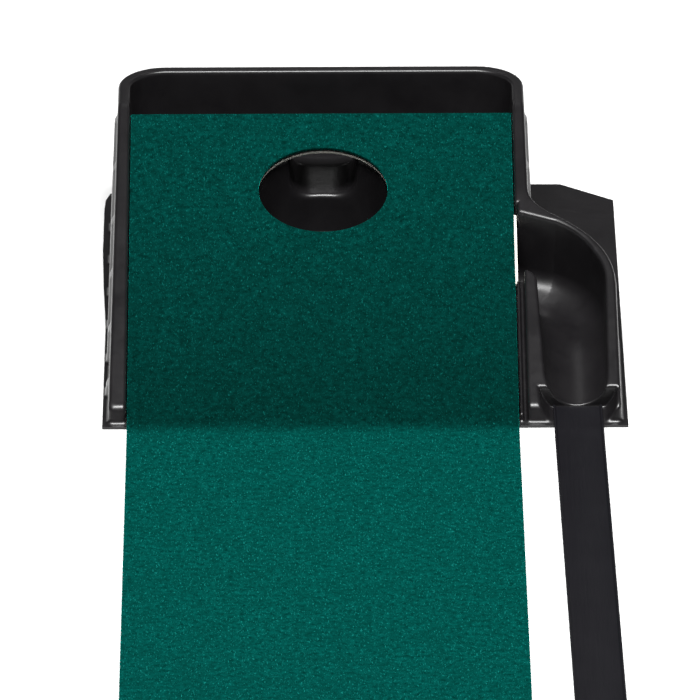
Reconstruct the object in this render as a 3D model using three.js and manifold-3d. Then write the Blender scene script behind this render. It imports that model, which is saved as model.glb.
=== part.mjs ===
// Practice putting mat: a felt mat whose back end climbs a short ramp in a black
// vacuum-formed tray. A ball that drops in the hole, or overshoots into the back
// pocket, runs down a channel under the ramp and rolls back along a side track.
//
// Millimetres, +Z up. The model is drawn in the tray's own frame, with X = 0 on the
// mat's centre line, Y = 0 on the fold where the mat leaves the floor, and Z = 0 on
// the floor. The last lines move the origin to the middle of the footprint.

import * as THREE from 'three';
import { mergeVertices } from 'three/addons/utils/BufferGeometryUtils.js';
import Module from 'manifold-3d';

const wasm = await Module();
wasm.setup();

// ---------------------------------------------------------------- driving dimensions

// Mat
const MAT_WIDTH = 305;
const MAT_LENGTH = 2438;
const PILE_THICKNESS = 2.8;
const BACKING_THICKNESS = 1.4;
const HOLE_DIAMETER = 103;
const HOLE_UP_RAMP = 284.6;      // fold to hole centre, along the ramp
const HOLE_OFFSET_X = 1.3;       // hole centre, right of the centre line

// Ramp
const RAMP_LENGTH = 378.6;       // fold to the mat's back edge, along the ramp
const RAMP_SLOPE = THREE.MathUtils.degToRad(16.3);
const BOARD_THICKNESS = 2;
const BOARD_START = 16.5;        // fold to the board's front edge, along the ramp
const BOARD_HOLE_MARGIN = 1;     // how far the board's hole stands back from the mat's
const TAB_WIDTH = 2.2;           // how far the board stands out over the ball exit
const TAB_BEFORE_HOLE = 110.6;   // front end of the tab to the hole's centre, along the ramp
const TAB_LENGTH = 84;
const LAYER_GAP = 0.3;           // running clearance between laid-on layers

// Hook-and-loop pairs that hold the board down
const TAPE_THICKNESS = 0.8;
const TAPE_WIDTH = 25;
const TAPE_LENGTH = 80;
const TAPE_INSET = 48.5;         // centre of each pair to the mat's edge
const TAPE_FRONT = 75;           // centre of the front pairs, along the ramp
const TAPE_BACK = 300;           // centre of the back pairs, along the ramp

// Tray
const SHEET = 1.6;               // thickness of the formed plastic sheet
const RIM_HEIGHT = 5;            // rim above the mat, square to the ramp
const RIM_ABOVE_MAT_END = 6.2;   // level back part of the rim above the mat's back edge
const RIM_WIDTH = 10;            // width of the rim's top at the sides
const SIDE_GAP = 1.1;            // mat edge to rim
const WALL_DRAFT = Math.tan(THREE.MathUtils.degToRad(2.2));
const FRONT_EDGE = 7;            // front edge of the flange, behind the fold
const FRONT_FOOT = 11.5;         // foot of the rim's front faces
const FRONT_DRAFT = 0.336;       // how far a front face leans back for each mm it rises
const BACK_RIM = 15;             // pocket to the foot of the back wall
const BACK_CORNER = 42;          // radius of the back corners
const FLANGE_WIDTH = 4.1;        // flange beyond the left wall's foot
const FLANGE_BULGE = 4.2;        // extra flange width near the back left corner
const FLANGE_BACK_WIDTH = 16.4;  // flange beyond the back wall's foot
const FLANGE_RIGHT_WIDTH = 3.6;  // flange beyond the chute wall's foot
const FLANGE_CUT_X = 42.5;       // back right corner cut off, across
const FLANGE_CUT_Y = 32;         // back right corner cut off, along

// Back pocket
const POCKET_GAP = 4.6;          // mat's back edge to the pocket
const POCKET_WIDTH = 66.5;       // front to back
const POCKET_DEPTH = 49.3;       // mat's back edge down to the middle of the floor
const POCKET_FLOOR_RISE = 4.5;   // middle of the floor to its ends
const POCKET_DRAFT = Math.tan(THREE.MathUtils.degToRad(2.5));
const POCKET_FRONT_CORNER = 15;
const POCKET_BACK_CORNER = 30;

// Trench from the pocket to the cup
const TRENCH_WIDTH = 52;
const TRENCH_END_FLOOR = 54.5;
const TRENCH_FLOOR_ROUND = 6;

// Cup under the hole
const CUP_MARGIN = 4.5;          // cup beyond the hole's edge, at the deck
const CUP_TAPER = 5;             // how much the cup narrows down to its floor
const CUP_FLOOR = 22;            // at the middle
const CUP_FLOOR_RISE = 4;        // middle to wall

// Ball channel: from the cup, out under the ramp, round the bend, down the chute
const EXIT_HEADING = THREE.MathUtils.degToRad(-23.3);
const BEND_RADIUS = 42;
const CHUTE_SHIFT = 0.8;         // chute's path to the landing's middle
const CHUTE_END = 38;            // where the chute steps down to the landing
const CHUTE_END_FLOOR = 4.6;
const CHANNEL_FLOOR_ROUND = 20;
const CHANNEL_DRAFT = Math.tan(THREE.MathUtils.degToRad(3));
const CHANNEL_TOP = 90;
const EXIT_BACK_WIDTH = 28;      // path to the wall behind it, under the ramp
const EXIT_FRONT_WIDTH = 38;     // path to the wall in front of it, under the ramp
const EXIT_DIVIDER_WIDTH = 28;   // path to the tip of the divider
const EXIT_NARROWING = 50;       // length over which the front wall closes in on it
const BEND_OUTER_WIDTH = 29.4;   // path to the outer wall, where the bend starts
const BEND_INNER_WIDTH = 27.5;   // path to the divider, where the bend ends
const CHUTE_OUTER_WIDTH = 23.8;
const CHUTE_INNER_WIDTH = 24.8;
const CHUTE_MOUTH_WIDTH = 22.4;

// Wall around the chute
const CHUTE_WALL_WIDTH = 3.9;    // landing's edge to the wall's foot
const CHUTE_WALL_BEND = -2.7;    // where the wall starts to curve in, from the path's bend
const CHUTE_WALL_START = 109.3;  // where the side wall starts to curve out, from the same

// Divider between ramp and chute
const DIVIDER_WIDTH = 8.7;       // groove to the landing
const LEDGE_WIDTH = 2.4;
const LEDGE_DROP = 1;            // ledge below the mat's surface
const GROOVE_WIDTH = 3.3;
const GROOVE_DROP = 7;
const GROOVE_END = 95;           // where the groove runs out into the exit, from the hole
const TAB_GAP = 1;               // all round the board's tab

// Landing that holds the track's end
const LANDING_CENTRE_Z = 25;
const TRACK_SIDE_GAP = 1.13;     // track's edge to the landing's side

// Stiffening ribs on the outer walls
const RIB_PITCH = 62.5;
const RIB_WIDTH = 20;
const RIB_DEPTH = 2.3;
const RIB_DROP = 18;             // rib top below the rim

// Return track
const TRACK_WIDTH = 38.4;
const TRACK_LENGTH = 2057;
const TRACK_THICKNESS = 1.5;
const TRACK_LIP_HEIGHT = 3.2;
const TRACK_LIP_WIDTH = 1.6;
const TRACK_SPLAY = THREE.MathUtils.degToRad(0.52);
const TRACK_END_GAP = 0.6;       // track end to the chute's step
const TRACK_DROP_RUN = 24;       // length over which the track comes down to the floor

// ---------------------------------------------------------------- what follows from them

const MAT_THICKNESS = PILE_THICKNESS + LAYER_GAP + BACKING_THICKNESS;
const HALF_MAT = MAT_WIDTH / 2;
const BED_HALF = HALF_MAT + SIDE_GAP;
const BOARD_TOP = -(MAT_THICKNESS + LAYER_GAP);
const BOARD_BOTTOM = BOARD_TOP - BOARD_THICKNESS;
const LOOP_TOP = BOARD_BOTTOM - LAYER_GAP;
const HOOK_TOP = LOOP_TOP - TAPE_THICKNESS - LAYER_GAP;
const DECK_DEPTH = -(HOOK_TOP - TAPE_THICKNESS - LAYER_GAP);
const HOLE_Y = HOLE_UP_RAMP * Math.cos(RAMP_SLOPE);
const TALL = 200;                // cuts that are open at the top reach this high
const FAR = 700;                 // cuts that run right through reach this far

// Height of a plane parallel to the ramp, `offset` above the mat's surface.
const rampZ = (y, offset) => MAT_THICKNESS + offset / Math.cos(RAMP_SLOPE) + y * Math.tan(RAMP_SLOPE);

// Where that plane reaches height z.
const rampY = (z, offset) => (z - rampZ(0, offset)) / Math.tan(RAMP_SLOPE);

const MAT_END_Y = RAMP_LENGTH * Math.cos(RAMP_SLOPE);
const MAT_END_LEVEL = rampZ(MAT_END_Y, 0);
const RIM_TOP_LEVEL = MAT_END_LEVEL + RIM_ABOVE_MAT_END;
const POCKET_FRONT = MAT_END_Y + POCKET_GAP;
const POCKET_BACK = POCKET_FRONT + POCKET_WIDTH;
const POCKET_CENTRE_FLOOR = MAT_END_LEVEL - POCKET_DEPTH;
const POCKET_END_FLOOR = POCKET_CENTRE_FLOOR + POCKET_FLOOR_RISE;
const BACK_FOOT = POCKET_BACK + BACK_RIM;
const FLANGE_BACK = BACK_FOOT + FLANGE_BACK_WIDTH;
const WALL_FOOT = BED_HALF + RIM_WIDTH + RIM_TOP_LEVEL * WALL_DRAFT - 0.4;

const CUP_RADIUS = HOLE_DIAMETER / 2 + CUP_MARGIN;
const CUP_FLOOR_RADIUS = CUP_RADIUS - CUP_TAPER;

const LANDING_RADIUS = Math.hypot(TRACK_WIDTH / 2 + TRACK_SIDE_GAP, LANDING_CENTRE_Z - SHEET);
const LANDING_X = BED_HALF + LEDGE_WIDTH + GROOVE_WIDTH + DIVIDER_WIDTH + LANDING_RADIUS;
const CHUTE_X = LANDING_X - CHUTE_SHIFT;
const CHUTE_WALL_X = LANDING_X + LANDING_RADIUS + CHUTE_WALL_WIDTH;
const FLANGE_RIGHT = CHUTE_WALL_X + FLANGE_RIGHT_WIDTH;
const TAPE_X = HALF_MAT - TAPE_INSET;
const TAB_START = HOLE_UP_RAMP - TAB_BEFORE_HOLE;

// ---------------------------------------------------------------- solids and booleans

const V2 = (x, y) => new THREE.Vector2(x, y);

function toManifold(geometry) {
	const bare = geometry.clone();
	for (const name of Object.keys(bare.attributes)) {
		if (name !== 'position') bare.deleteAttribute(name);
	}
	const merged = mergeVertices(bare, 1e-4);
	const position = merged.getAttribute('position');
	return new wasm.Manifold(new wasm.Mesh({
		numProp: 3,
		vertProperties: Float32Array.from(position.array),
		triVerts: Uint32Array.from(merged.index.array),
	}));
}

function toGeometry(solid) {
	const { vertProperties, triVerts } = solid.getMesh();
	const geometry = new THREE.BufferGeometry();
	geometry.setAttribute('position', new THREE.BufferAttribute(new Float32Array(vertProperties), 3));
	geometry.setIndex(new THREE.BufferAttribute(new Uint32Array(triVerts), 1));
	geometry.computeVertexNormals();
	return geometry;
}

// A closed skin through rings of points. Each ring is the outline `flat` placed in space.
function loft(rings, flat) {
	const count = flat.length;
	const points = rings.flat();
	const index = [];
	for (let r = 0; r + 1 < rings.length; r++) {
		for (let i = 0; i < count; i++) {
			const a = r * count + i;
			const b = r * count + (i + 1) % count;
			index.push(a, b, b + count, a, b + count, a + count);
		}
	}
	const last = (rings.length - 1) * count;
	const clockwise = THREE.ShapeUtils.isClockWise(flat);
	for (const face of THREE.ShapeUtils.triangulateShape(flat, [])) {
		const [a, b, c] = clockwise ? face.reverse() : face;
		index.push(a, c, b);
		index.push(last + a, last + b, last + c);
	}
	let volume = 0;
	for (let i = 0; i < index.length; i += 3) {
		volume += points[index[i]].dot(points[index[i + 1]].clone().cross(points[index[i + 2]]));
	}
	if (volume < 0) index.reverse();
	const geometry = new THREE.BufferGeometry().setFromPoints(points);
	geometry.setIndex(index);
	return toManifold(geometry);
}

// An anticlockwise outline moved outwards by `distance`.
function offset(outline, distance) {
	return outline.map((p, i) => {
		const before = outline[(i + outline.length - 1) % outline.length];
		const after = outline[(i + 1) % outline.length];
		const a = p.clone().sub(before).normalize();
		const b = after.clone().sub(p).normalize();
		const normal = V2(a.y + b.y, -a.x - b.x);
		const stretch = 2 / normal.lengthSq();
		return p.clone().addScaledVector(normal, distance * stretch);
	});
}

// A block that narrows upwards by `draft` for each mm; negative draft widens it.
function block(outline, low, high, draft = 0) {
	const ring = (z) => offset(outline, -draft * z).map((p) => new THREE.Vector3(p.x, p.y, z));
	return loft([ring(low), ring(high)], outline);
}

// A bar along X whose section is given in Y and Z.
function barX(left, right, section) {
	const ring = (x) => section.map((p) => new THREE.Vector3(x, p.x, p.y));
	return loft([ring(left), ring(right)], section);
}

// The region above a plane parallel to the ramp, between two heights along Y.
function aboveRamp(left, right, start, end, offsetFromMat) {
	return barX(left, right, [
		V2(start, rampZ(start, offsetFromMat)),
		V2(end, rampZ(end, offsetFromMat)),
		V2(end, TALL),
		V2(start, TALL),
	]);
}

function roundedBox(left, right, front, back, frontRadius, backRadius) {
	const shape = new THREE.Path();
	shape.moveTo(left + frontRadius, front);
	shape.lineTo(right - frontRadius, front);
	shape.absarc(right - frontRadius, front + frontRadius, frontRadius, -Math.PI / 2, 0);
	shape.lineTo(right, back - backRadius);
	shape.absarc(right - backRadius, back - backRadius, backRadius, 0, Math.PI / 2);
	shape.lineTo(left + backRadius, back);
	shape.absarc(left + backRadius, back - backRadius, backRadius, Math.PI / 2, Math.PI);
	shape.lineTo(left, front + frontRadius);
	shape.absarc(left + frontRadius, front + frontRadius, frontRadius, Math.PI, 1.5 * Math.PI);
	return tidy(shape.getPoints(8));
}

// Drops points that repeat the one before them.
function tidy(points) {
	return points.filter((p, i) => p.distanceTo(points[(i + points.length - 1) % points.length]) > 1e-3);
}

// ---------------------------------------------------------------- tray

// Foot of the outer wall, anticlockwise from the front left corner.
function wallOutline() {
	const shape = new THREE.Path();
	const corner = BACK_CORNER;
	const outward = CHUTE_WALL_X - WALL_FOOT;
	const bend = ballPath().bendEnd.y + CHUTE_WALL_BEND;
	const start = ballPath().bendEnd.y + CHUTE_WALL_START;
	const inward = start - bend;
	shape.moveTo(-WALL_FOOT, FRONT_FOOT);
	shape.lineTo(CHUTE_WALL_X - 0.9, FRONT_FOOT);
	shape.lineTo(CHUTE_WALL_X, bend);
	shape.bezierCurveTo(
		CHUTE_WALL_X, bend + 0.36 * inward,
		CHUTE_WALL_X - 0.35 * outward, bend + 0.56 * inward,
		CHUTE_WALL_X - 0.63 * outward, bend + 0.69 * inward,
	);
	shape.bezierCurveTo(
		WALL_FOOT + 0.2 * outward, start - 0.23 * inward,
		WALL_FOOT, start - 0.16 * inward,
		WALL_FOOT, start,
	);
	shape.lineTo(WALL_FOOT, BACK_FOOT - corner);
	shape.absarc(WALL_FOOT - corner, BACK_FOOT - corner, corner, 0, Math.PI / 2);
	shape.lineTo(-WALL_FOOT + corner, BACK_FOOT);
	shape.absarc(-WALL_FOOT + corner, BACK_FOOT - corner, corner, Math.PI / 2, Math.PI);
	return tidy(shape.getPoints(10));
}

// The raised body: the wall's outline up to the rim. `skin` moves every face inwards.
function body(skin) {
	const low = skin > 0 ? -1 : 0;
	const level = RIM_TOP_LEVEL - skin;
	const rim = RIM_HEIGHT - skin;
	const kink = rampY(level, rim);
	const overRim = barX(-FAR, FAR, [
		V2(-FAR, rampZ(-FAR, rim)),
		V2(kink, level),
		V2(FAR, level),
		V2(FAR, FAR),
		V2(-FAR, FAR),
	]);
	const foot = FRONT_FOOT + skin;
	const inFront = barX(-FAR, FAR, [
		V2(-FAR, -FAR),
		V2(foot - FAR * FRONT_DRAFT, -FAR),
		V2(foot + FAR * FRONT_DRAFT, FAR),
		V2(-FAR, FAR),
	]);
	return block(offset(wallOutline(), -skin), low, TALL, WALL_DRAFT)
		.subtract(overRim)
		.subtract(inFront);
}

// The bed that the ramp lies in: a sloping deck that meets the flange at the front.
function bed(skin) {
	const deck = -DECK_DEPTH - skin;
	const floor = SHEET - skin;
	return barX(-BED_HALF - skin, BED_HALF + skin, [
		V2(-FAR, floor),
		V2(rampY(floor, deck), floor),
		V2(POCKET_FRONT + 1, rampZ(POCKET_FRONT + 1, deck)),
		V2(POCKET_FRONT + 1, TALL),
		V2(-FAR, TALL),
	]);
}

// The back pocket, whose floor falls from both ends to the trench.
function pocket(skin) {
	const outline = roundedBox(
		-BED_HALF, BED_HALF, POCKET_FRONT, POCKET_BACK,
		POCKET_FRONT_CORNER, POCKET_BACK_CORNER,
	);
	const atFloorLevel = offset(outline, skin - RIM_TOP_LEVEL * POCKET_DRAFT);
	const floor = [
		V2(-BED_HALF, POCKET_END_FLOOR - skin),
		V2(HOLE_OFFSET_X, POCKET_CENTRE_FLOOR - skin),
		V2(BED_HALF, POCKET_END_FLOOR - skin),
		V2(BED_HALF, 0),
		V2(-BED_HALF, 0),
	];
	const underFloor = [POCKET_FRONT - 50, POCKET_BACK + 50].map(
		(y) => floor.map((p) => new THREE.Vector3(2 * p.x, y, 2 * p.y - floor[1].y)),
	);
	return block(atFloorLevel, POCKET_CENTRE_FLOOR - 10, TALL, -POCKET_DRAFT)
		.subtract(loft(underFloor, floor));
}

// Half of a channel's section: down the wall and round to the middle of the floor.
function halfSection(width, floor, round, draft, top, steps = 6) {
	const points = [V2(width + draft * (top - floor - round), top)];
	for (let i = 0; i < steps; i++) {
		const angle = (i / steps) * Math.PI / 2;
		points.push(V2(width * Math.cos(angle), floor + round * (1 - Math.sin(angle))));
	}
	return points;
}

// A whole section: the left half, the middle of the floor, the right half.
function channelSection(left, right, floor, round, draft, top) {
	return [
		...halfSection(left, floor, round, draft, top).map((p) => V2(-p.x, p.y)),
		V2(0, floor),
		...halfSection(right, floor, round, draft, top).reverse(),
	];
}

function trench(skin) {
	const front = HOLE_Y + CUP_FLOOR_RADIUS - 6;
	const back = POCKET_FRONT + 14;
	const half = TRENCH_WIDTH / 2 + skin;
	const section = (floor) => channelSection(half, half, floor - skin, TRENCH_FLOOR_ROUND, 0, TALL);
	const ring = (y, floor) => section(floor).map((p) => new THREE.Vector3(HOLE_OFFSET_X + p.x, y, p.y));
	return loft([ring(front, TRENCH_END_FLOOR), ring(back, POCKET_CENTRE_FLOOR)], section(0));
}

function cup(skin) {
	const deckHeight = rampZ(HOLE_Y, -DECK_DEPTH);
	const wallFoot = CUP_FLOOR + CUP_FLOOR_RISE - skin;
	const lean = (CUP_RADIUS - CUP_FLOOR_RADIUS) / (deckHeight - CUP_FLOOR - CUP_FLOOR_RISE);
	const profile = [
		V2(0, CUP_FLOOR - skin),
		V2(CUP_FLOOR_RADIUS + skin, wallFoot),
		V2(CUP_FLOOR_RADIUS + skin + lean * (TALL - wallFoot), TALL),
		V2(0, TALL),
	];
	const geometry = new THREE.LatheGeometry(profile, 40);
	geometry.rotateX(Math.PI / 2);
	geometry.translate(HOLE_OFFSET_X, HOLE_Y, 0);
	return toManifold(geometry);
}

// The ball's path: straight from the cup, round a bend, straight down the chute.
function ballPath() {
	const heading = V2(Math.cos(EXIT_HEADING), Math.sin(EXIT_HEADING));
	const start = V2(HOLE_OFFSET_X, HOLE_Y);
	const toCorner = (CHUTE_X - start.x) / heading.x;
	const turn = EXIT_HEADING + Math.PI / 2;
	const tangent = BEND_RADIUS * Math.tan(turn / 2);
	const bendEnd = V2(CHUTE_X, start.y + toCorner * heading.y - tangent);
	const centre = V2(CHUTE_X - BEND_RADIUS, bendEnd.y);
	const straight = toCorner - tangent;
	const bend = BEND_RADIUS * turn;
	const total = straight + bend + bendEnd.y - CHUTE_END;
	const at = (s) => {
		if (s <= straight) return { point: start.clone().addScaledVector(heading, s), angle: EXIT_HEADING };
		if (s >= straight + bend) {
			return { point: V2(CHUTE_X, bendEnd.y - (s - straight - bend)), angle: -Math.PI / 2 };
		}
		const angle = EXIT_HEADING - (s - straight) / BEND_RADIUS;
		const out = V2(-Math.sin(angle), Math.cos(angle));
		return { point: centre.clone().addScaledVector(out, BEND_RADIUS), angle };
	};
	return { at, straight, bend, total, bendEnd };
}

// Straight-line blend of `from` to `to` while s goes from start to end.
function ramped(s, start, end, from, to) {
	return THREE.MathUtils.mapLinear(THREE.MathUtils.clamp(s, start, end), start, end, from, to);
}

function channel(skin) {
	const path = ballPath();
	const bendEnd = path.straight + path.bend;
	const flare = path.straight - 30;
	const closing = path.straight - EXIT_NARROWING;
	const mouth = path.total - 22;
	const stations = [0, closing, flare - 10, flare];
	for (let i = 0; i <= 12; i++) stations.push(path.straight + path.bend * i / 12);
	for (let i = 1; i <= 4; i++) stations.push(bendEnd + (mouth - bendEnd) * i / 4);
	for (let i = 1; i <= 4; i++) stations.push(mouth + (path.total - mouth) * i / 4);
	const sectionAt = (s) => {
		const floor = ramped(s, 0, path.total, CUP_FLOOR, CHUTE_END_FLOOR) - skin;
		const narrow = ((Math.max(s, mouth) - mouth) / (path.total - mouth)) ** 2;
		const outer = s < path.straight
			? ramped(s, flare, path.straight, EXIT_BACK_WIDTH, BEND_OUTER_WIDTH)
			: ramped(s, path.straight, path.straight + 0.55 * path.bend, BEND_OUTER_WIDTH, CHUTE_OUTER_WIDTH);
		const inner = s < path.straight
			? ramped(s, closing, path.straight, EXIT_FRONT_WIDTH, EXIT_DIVIDER_WIDTH)
			: ramped(s, bendEnd, mouth, BEND_INNER_WIDTH, CHUTE_INNER_WIDTH);
		const left = THREE.MathUtils.lerp(outer, CHUTE_MOUTH_WIDTH, narrow) + skin;
		const right = THREE.MathUtils.lerp(inner, CHUTE_MOUTH_WIDTH, narrow) + skin;
		return channelSection(left, right, floor, CHANNEL_FLOOR_ROUND, CHANNEL_DRAFT, CHANNEL_TOP);
	};
	const rings = stations.map((s) => {
		const { point, angle } = path.at(s);
		const right = V2(Math.sin(angle), -Math.cos(angle));
		return sectionAt(s).map((p) => new THREE.Vector3(
			point.x + right.x * p.x,
			point.y + right.y * p.x,
			p.y,
		));
	});
	return loft(rings, sectionAt(0));
}

// The round-sided landing in front of the chute, flat at the bottom for the track.
function landing(skin) {
	const radius = LANDING_RADIUS + skin;
	const floor = SHEET - skin;
	const lowest = Math.asin((LANDING_CENTRE_Z - floor) / radius);
	const steps = 8;
	const half = [V2(radius, TALL)];
	for (let i = 0; i <= steps; i++) {
		const angle = lowest * i / steps;
		half.push(V2(radius * Math.cos(angle), LANDING_CENTRE_Z - radius * Math.sin(angle)));
	}
	const section = [...half.map((p) => V2(-p.x, p.y)), ...half.slice().reverse()];
	const ring = (y) => section.map((p) => new THREE.Vector3(LANDING_X + p.x, y, p.y));
	return loft([ring(-FAR), ring(CHUTE_END + skin)], section);
}

// The narrow ledge beside the mat, the groove between it and the divider, and the
// notch at the exit that leaves room for the board's tab.
function groove(skin) {
	const end = HOLE_Y - GROOVE_END;
	const ledgeEnd = BED_HALF + LEDGE_WIDTH;
	const grooveEnd = ledgeEnd + GROOVE_WIDTH;
	const overLedge = aboveRamp(BED_HALF - 1, grooveEnd + skin, -FAR, end, -LEDGE_DROP - skin);
	const slot = aboveRamp(ledgeEnd - skin, grooveEnd + skin, -FAR, end, -GROOVE_DROP - skin);
	const level = (along, height) => along * Math.cos(RAMP_SLOPE) - height * Math.sin(RAMP_SLOPE);
	const notchStart = level(TAB_START, BOARD_TOP) - TAB_GAP - skin;
	const notchEnd = level(TAB_START + TAB_LENGTH, BOARD_BOTTOM) + TAB_GAP + skin;
	const notchSide = HALF_MAT + TAB_WIDTH + TAB_GAP + skin;
	const notch = aboveRamp(BED_HALF - 1, notchSide, notchStart, notchEnd, -DECK_DEPTH - skin);
	return overLedge.add(slot).add(notch).subtract(block(squareOutline(FAR), -FAR, SHEET - skin));
}

function squareOutline(half) {
	return [V2(-half, -half), V2(half, -half), V2(half, half), V2(-half, half)];
}

function hollows(skin) {
	return bed(skin)
		.add(pocket(skin))
		.add(trench(skin))
		.add(cup(skin))
		.add(channel(skin))
		.add(landing(skin))
		.add(groove(skin));
}

function flange() {
	const left = -WALL_FOOT - FLANGE_WIDTH;
	const bulge = left - FLANGE_BULGE;
	return block([
		V2(left, FRONT_EDGE),
		V2(FLANGE_RIGHT, FRONT_EDGE),
		V2(FLANGE_RIGHT, FLANGE_BACK - FLANGE_CUT_Y),
		V2(FLANGE_RIGHT - FLANGE_CUT_X, FLANGE_BACK),
		V2(left + FLANGE_CUT_Y, FLANGE_BACK),
		V2(bulge + FLANGE_BULGE, FLANGE_BACK - 0.5 * FLANGE_CUT_Y),
		V2(bulge, FLANGE_BACK - 1.4 * FLANGE_CUT_Y),
		V2(bulge, FLANGE_BACK - 4 * FLANGE_CUT_Y),
		V2(left, FLANGE_BACK - 8.5 * FLANGE_CUT_Y),
	], 0, SHEET);
}

// A stiffening rib: it stands on the flange against a wall that leans in with height.
// `foot` is a point on the wall's foot and `out` the wall's outward direction.
function rib(foot, out, top) {
	const along = V2(-out.y, out.x);
	const ring = (z, inset) => [
		[-2, -RIB_WIDTH / 2 - 1],
		[RIB_DEPTH + inset, -RIB_WIDTH / 2 + 2],
		[RIB_DEPTH + inset, RIB_WIDTH / 2 - 2],
		[-2, RIB_WIDTH / 2 + 1],
	].map(([depth, side]) => {
		const lean = depth - z * WALL_DRAFT;
		return new THREE.Vector3(foot.x + out.x * lean + along.x * side, foot.y + out.y * lean + along.y * side, z);
	});
	const flat = [V2(-2, -9), V2(2, -8), V2(2, 8), V2(-2, 9)];
	return loft([ring(0, 0.9), ring(top - 6, 0), ring(top, -RIB_DEPTH - 1)], flat);
}

function ribs() {
	const all = [];
	const rows = Math.floor((BACK_FOOT - BACK_CORNER - RIB_PITCH) / RIB_PITCH) + 1;
	const rightStart = ballPath().bendEnd.y + CHUTE_WALL_START + RIB_WIDTH;
	for (let i = 0; i < rows; i++) {
		const y = BACK_FOOT - BACK_CORNER - 25.5 - i * RIB_PITCH;
		const top = Math.min(rampZ(y, RIM_HEIGHT), RIM_TOP_LEVEL) - RIB_DROP;
		if (top < 3 * RIB_DEPTH + 6) continue;
		all.push(rib(V2(-WALL_FOOT, y), V2(-1, 0), top));
		if (y > rightStart) all.push(rib(V2(WALL_FOOT, y), V2(1, 0), top));
	}
	for (const i of [-2, -1, 0, 1, 2]) {
		all.push(rib(V2(i * RIB_PITCH, BACK_FOOT), V2(0, 1), RIM_TOP_LEVEL - RIB_DROP));
	}
	return all;
}

function tray() {
	const outside = ribs().reduce((sum, one) => sum.add(one), body(0).add(flange()));
	const inside = body(SHEET).subtract(hollows(SHEET));
	return outside.subtract(hollows(0)).subtract(inside);
}

// ---------------------------------------------------------------- ramp and mat

// A flat piece of an outline with a round hole, from height `bottom` to `top`.
function flatPiece(outline, bottom, top, hole) {
	const shape = new THREE.Shape(outline);
	if (hole) shape.holes.push(new THREE.Path().absarc(hole.x, hole.y, hole.radius, 0, 2 * Math.PI, true));
	const geometry = new THREE.ExtrudeGeometry(shape, {
		depth: top - bottom,
		bevelEnabled: false,
		curveSegments: 48,
	});
	geometry.translate(0, 0, bottom);
	return geometry;
}

const hole = { x: HOLE_OFFSET_X, y: HOLE_UP_RAMP, radius: HOLE_DIAMETER / 2 };
const boardHole = { ...hole, radius: hole.radius + BOARD_HOLE_MARGIN };

const box = (left, right, front, back) => [
	V2(left, front),
	V2(right, front),
	V2(right, back),
	V2(left, back),
];

function boardOutline() {
	const tabEnd = TAB_START + TAB_LENGTH;
	return [
		V2(-HALF_MAT, BOARD_START),
		V2(HALF_MAT, BOARD_START),
		V2(HALF_MAT, TAB_START),
		V2(HALF_MAT + TAB_WIDTH, TAB_START + 1),
		V2(HALF_MAT + TAB_WIDTH, tabEnd - 1),
		V2(HALF_MAT, tabEnd),
		V2(HALF_MAT, RAMP_LENGTH),
		V2(-HALF_MAT, RAMP_LENGTH),
	];
}

function tapeOutline(x, along) {
	return roundedBox(
		x - TAPE_WIDTH / 2, x + TAPE_WIDTH / 2,
		along - TAPE_LENGTH / 2, along + TAPE_LENGTH / 2, 3, 3,
	);
}

// ---------------------------------------------------------------- return track

// A flat strip with a raised lip along each edge, laid from the landing to the floor.
function track() {
	const half = TRACK_WIDTH / 2;
	const section = [
		V2(-half, 0),
		V2(half, 0),
		V2(half, TRACK_LIP_HEIGHT),
		V2(half - TRACK_LIP_WIDTH, TRACK_LIP_HEIGHT),
		V2(half - TRACK_LIP_WIDTH - 1, TRACK_THICKNESS),
		V2(-half + TRACK_LIP_WIDTH + 1, TRACK_THICKNESS),
		V2(-half + TRACK_LIP_WIDTH, TRACK_LIP_HEIGHT),
		V2(-half, TRACK_LIP_HEIGHT),
	];
	const onTray = SHEET + LAYER_GAP;
	const start = CHUTE_END - TRACK_END_GAP;
	const dropStart = start - FRONT_EDGE + 4;
	const stations = [[0, onTray], [dropStart, onTray]];
	for (let i = 1; i <= 6; i++) {
		const eased = (1 + Math.cos(Math.PI * i / 6)) / 2;
		stations.push([dropStart + TRACK_DROP_RUN * i / 6, onTray * eased]);
	}
	stations.push([TRACK_LENGTH, 0]);
	const rings = stations.map(([along, z]) => section.map((p) => new THREE.Vector3(
		LANDING_X + p.x * Math.cos(TRACK_SPLAY) + (along - start) * Math.sin(TRACK_SPLAY),
		start - along + p.x * Math.sin(TRACK_SPLAY),
		z + p.y,
	)));
	return toGeometry(loft(rings, section));
}

// ---------------------------------------------------------------- assembly

const finish = {
	plastic: { color: 0x1b1b1c, roughness: 0.38, metalness: 0 },
	felt: { color: 0x0b5a4e, roughness: 1, metalness: 0 },
	backing: { color: 0x1d1f1e, roughness: 0.9, metalness: 0 },
	board: { color: 0xe9e6dc, roughness: 0.6, metalness: 0 },
	tape: { color: 0x151515, roughness: 0.95, metalness: 0 },
	strip: { color: 0x202022, roughness: 0.6, metalness: 0 },
};

function piece(name, geometry, look) {
	const mesh = new THREE.Mesh(geometry, new THREE.MeshStandardMaterial(finish[look]));
	mesh.name = name;
	return mesh;
}

const assembly = new THREE.Group();
assembly.add(piece('tray', toGeometry(tray()), 'plastic'));
assembly.add(piece('return_track', track(), 'strip'));

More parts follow.
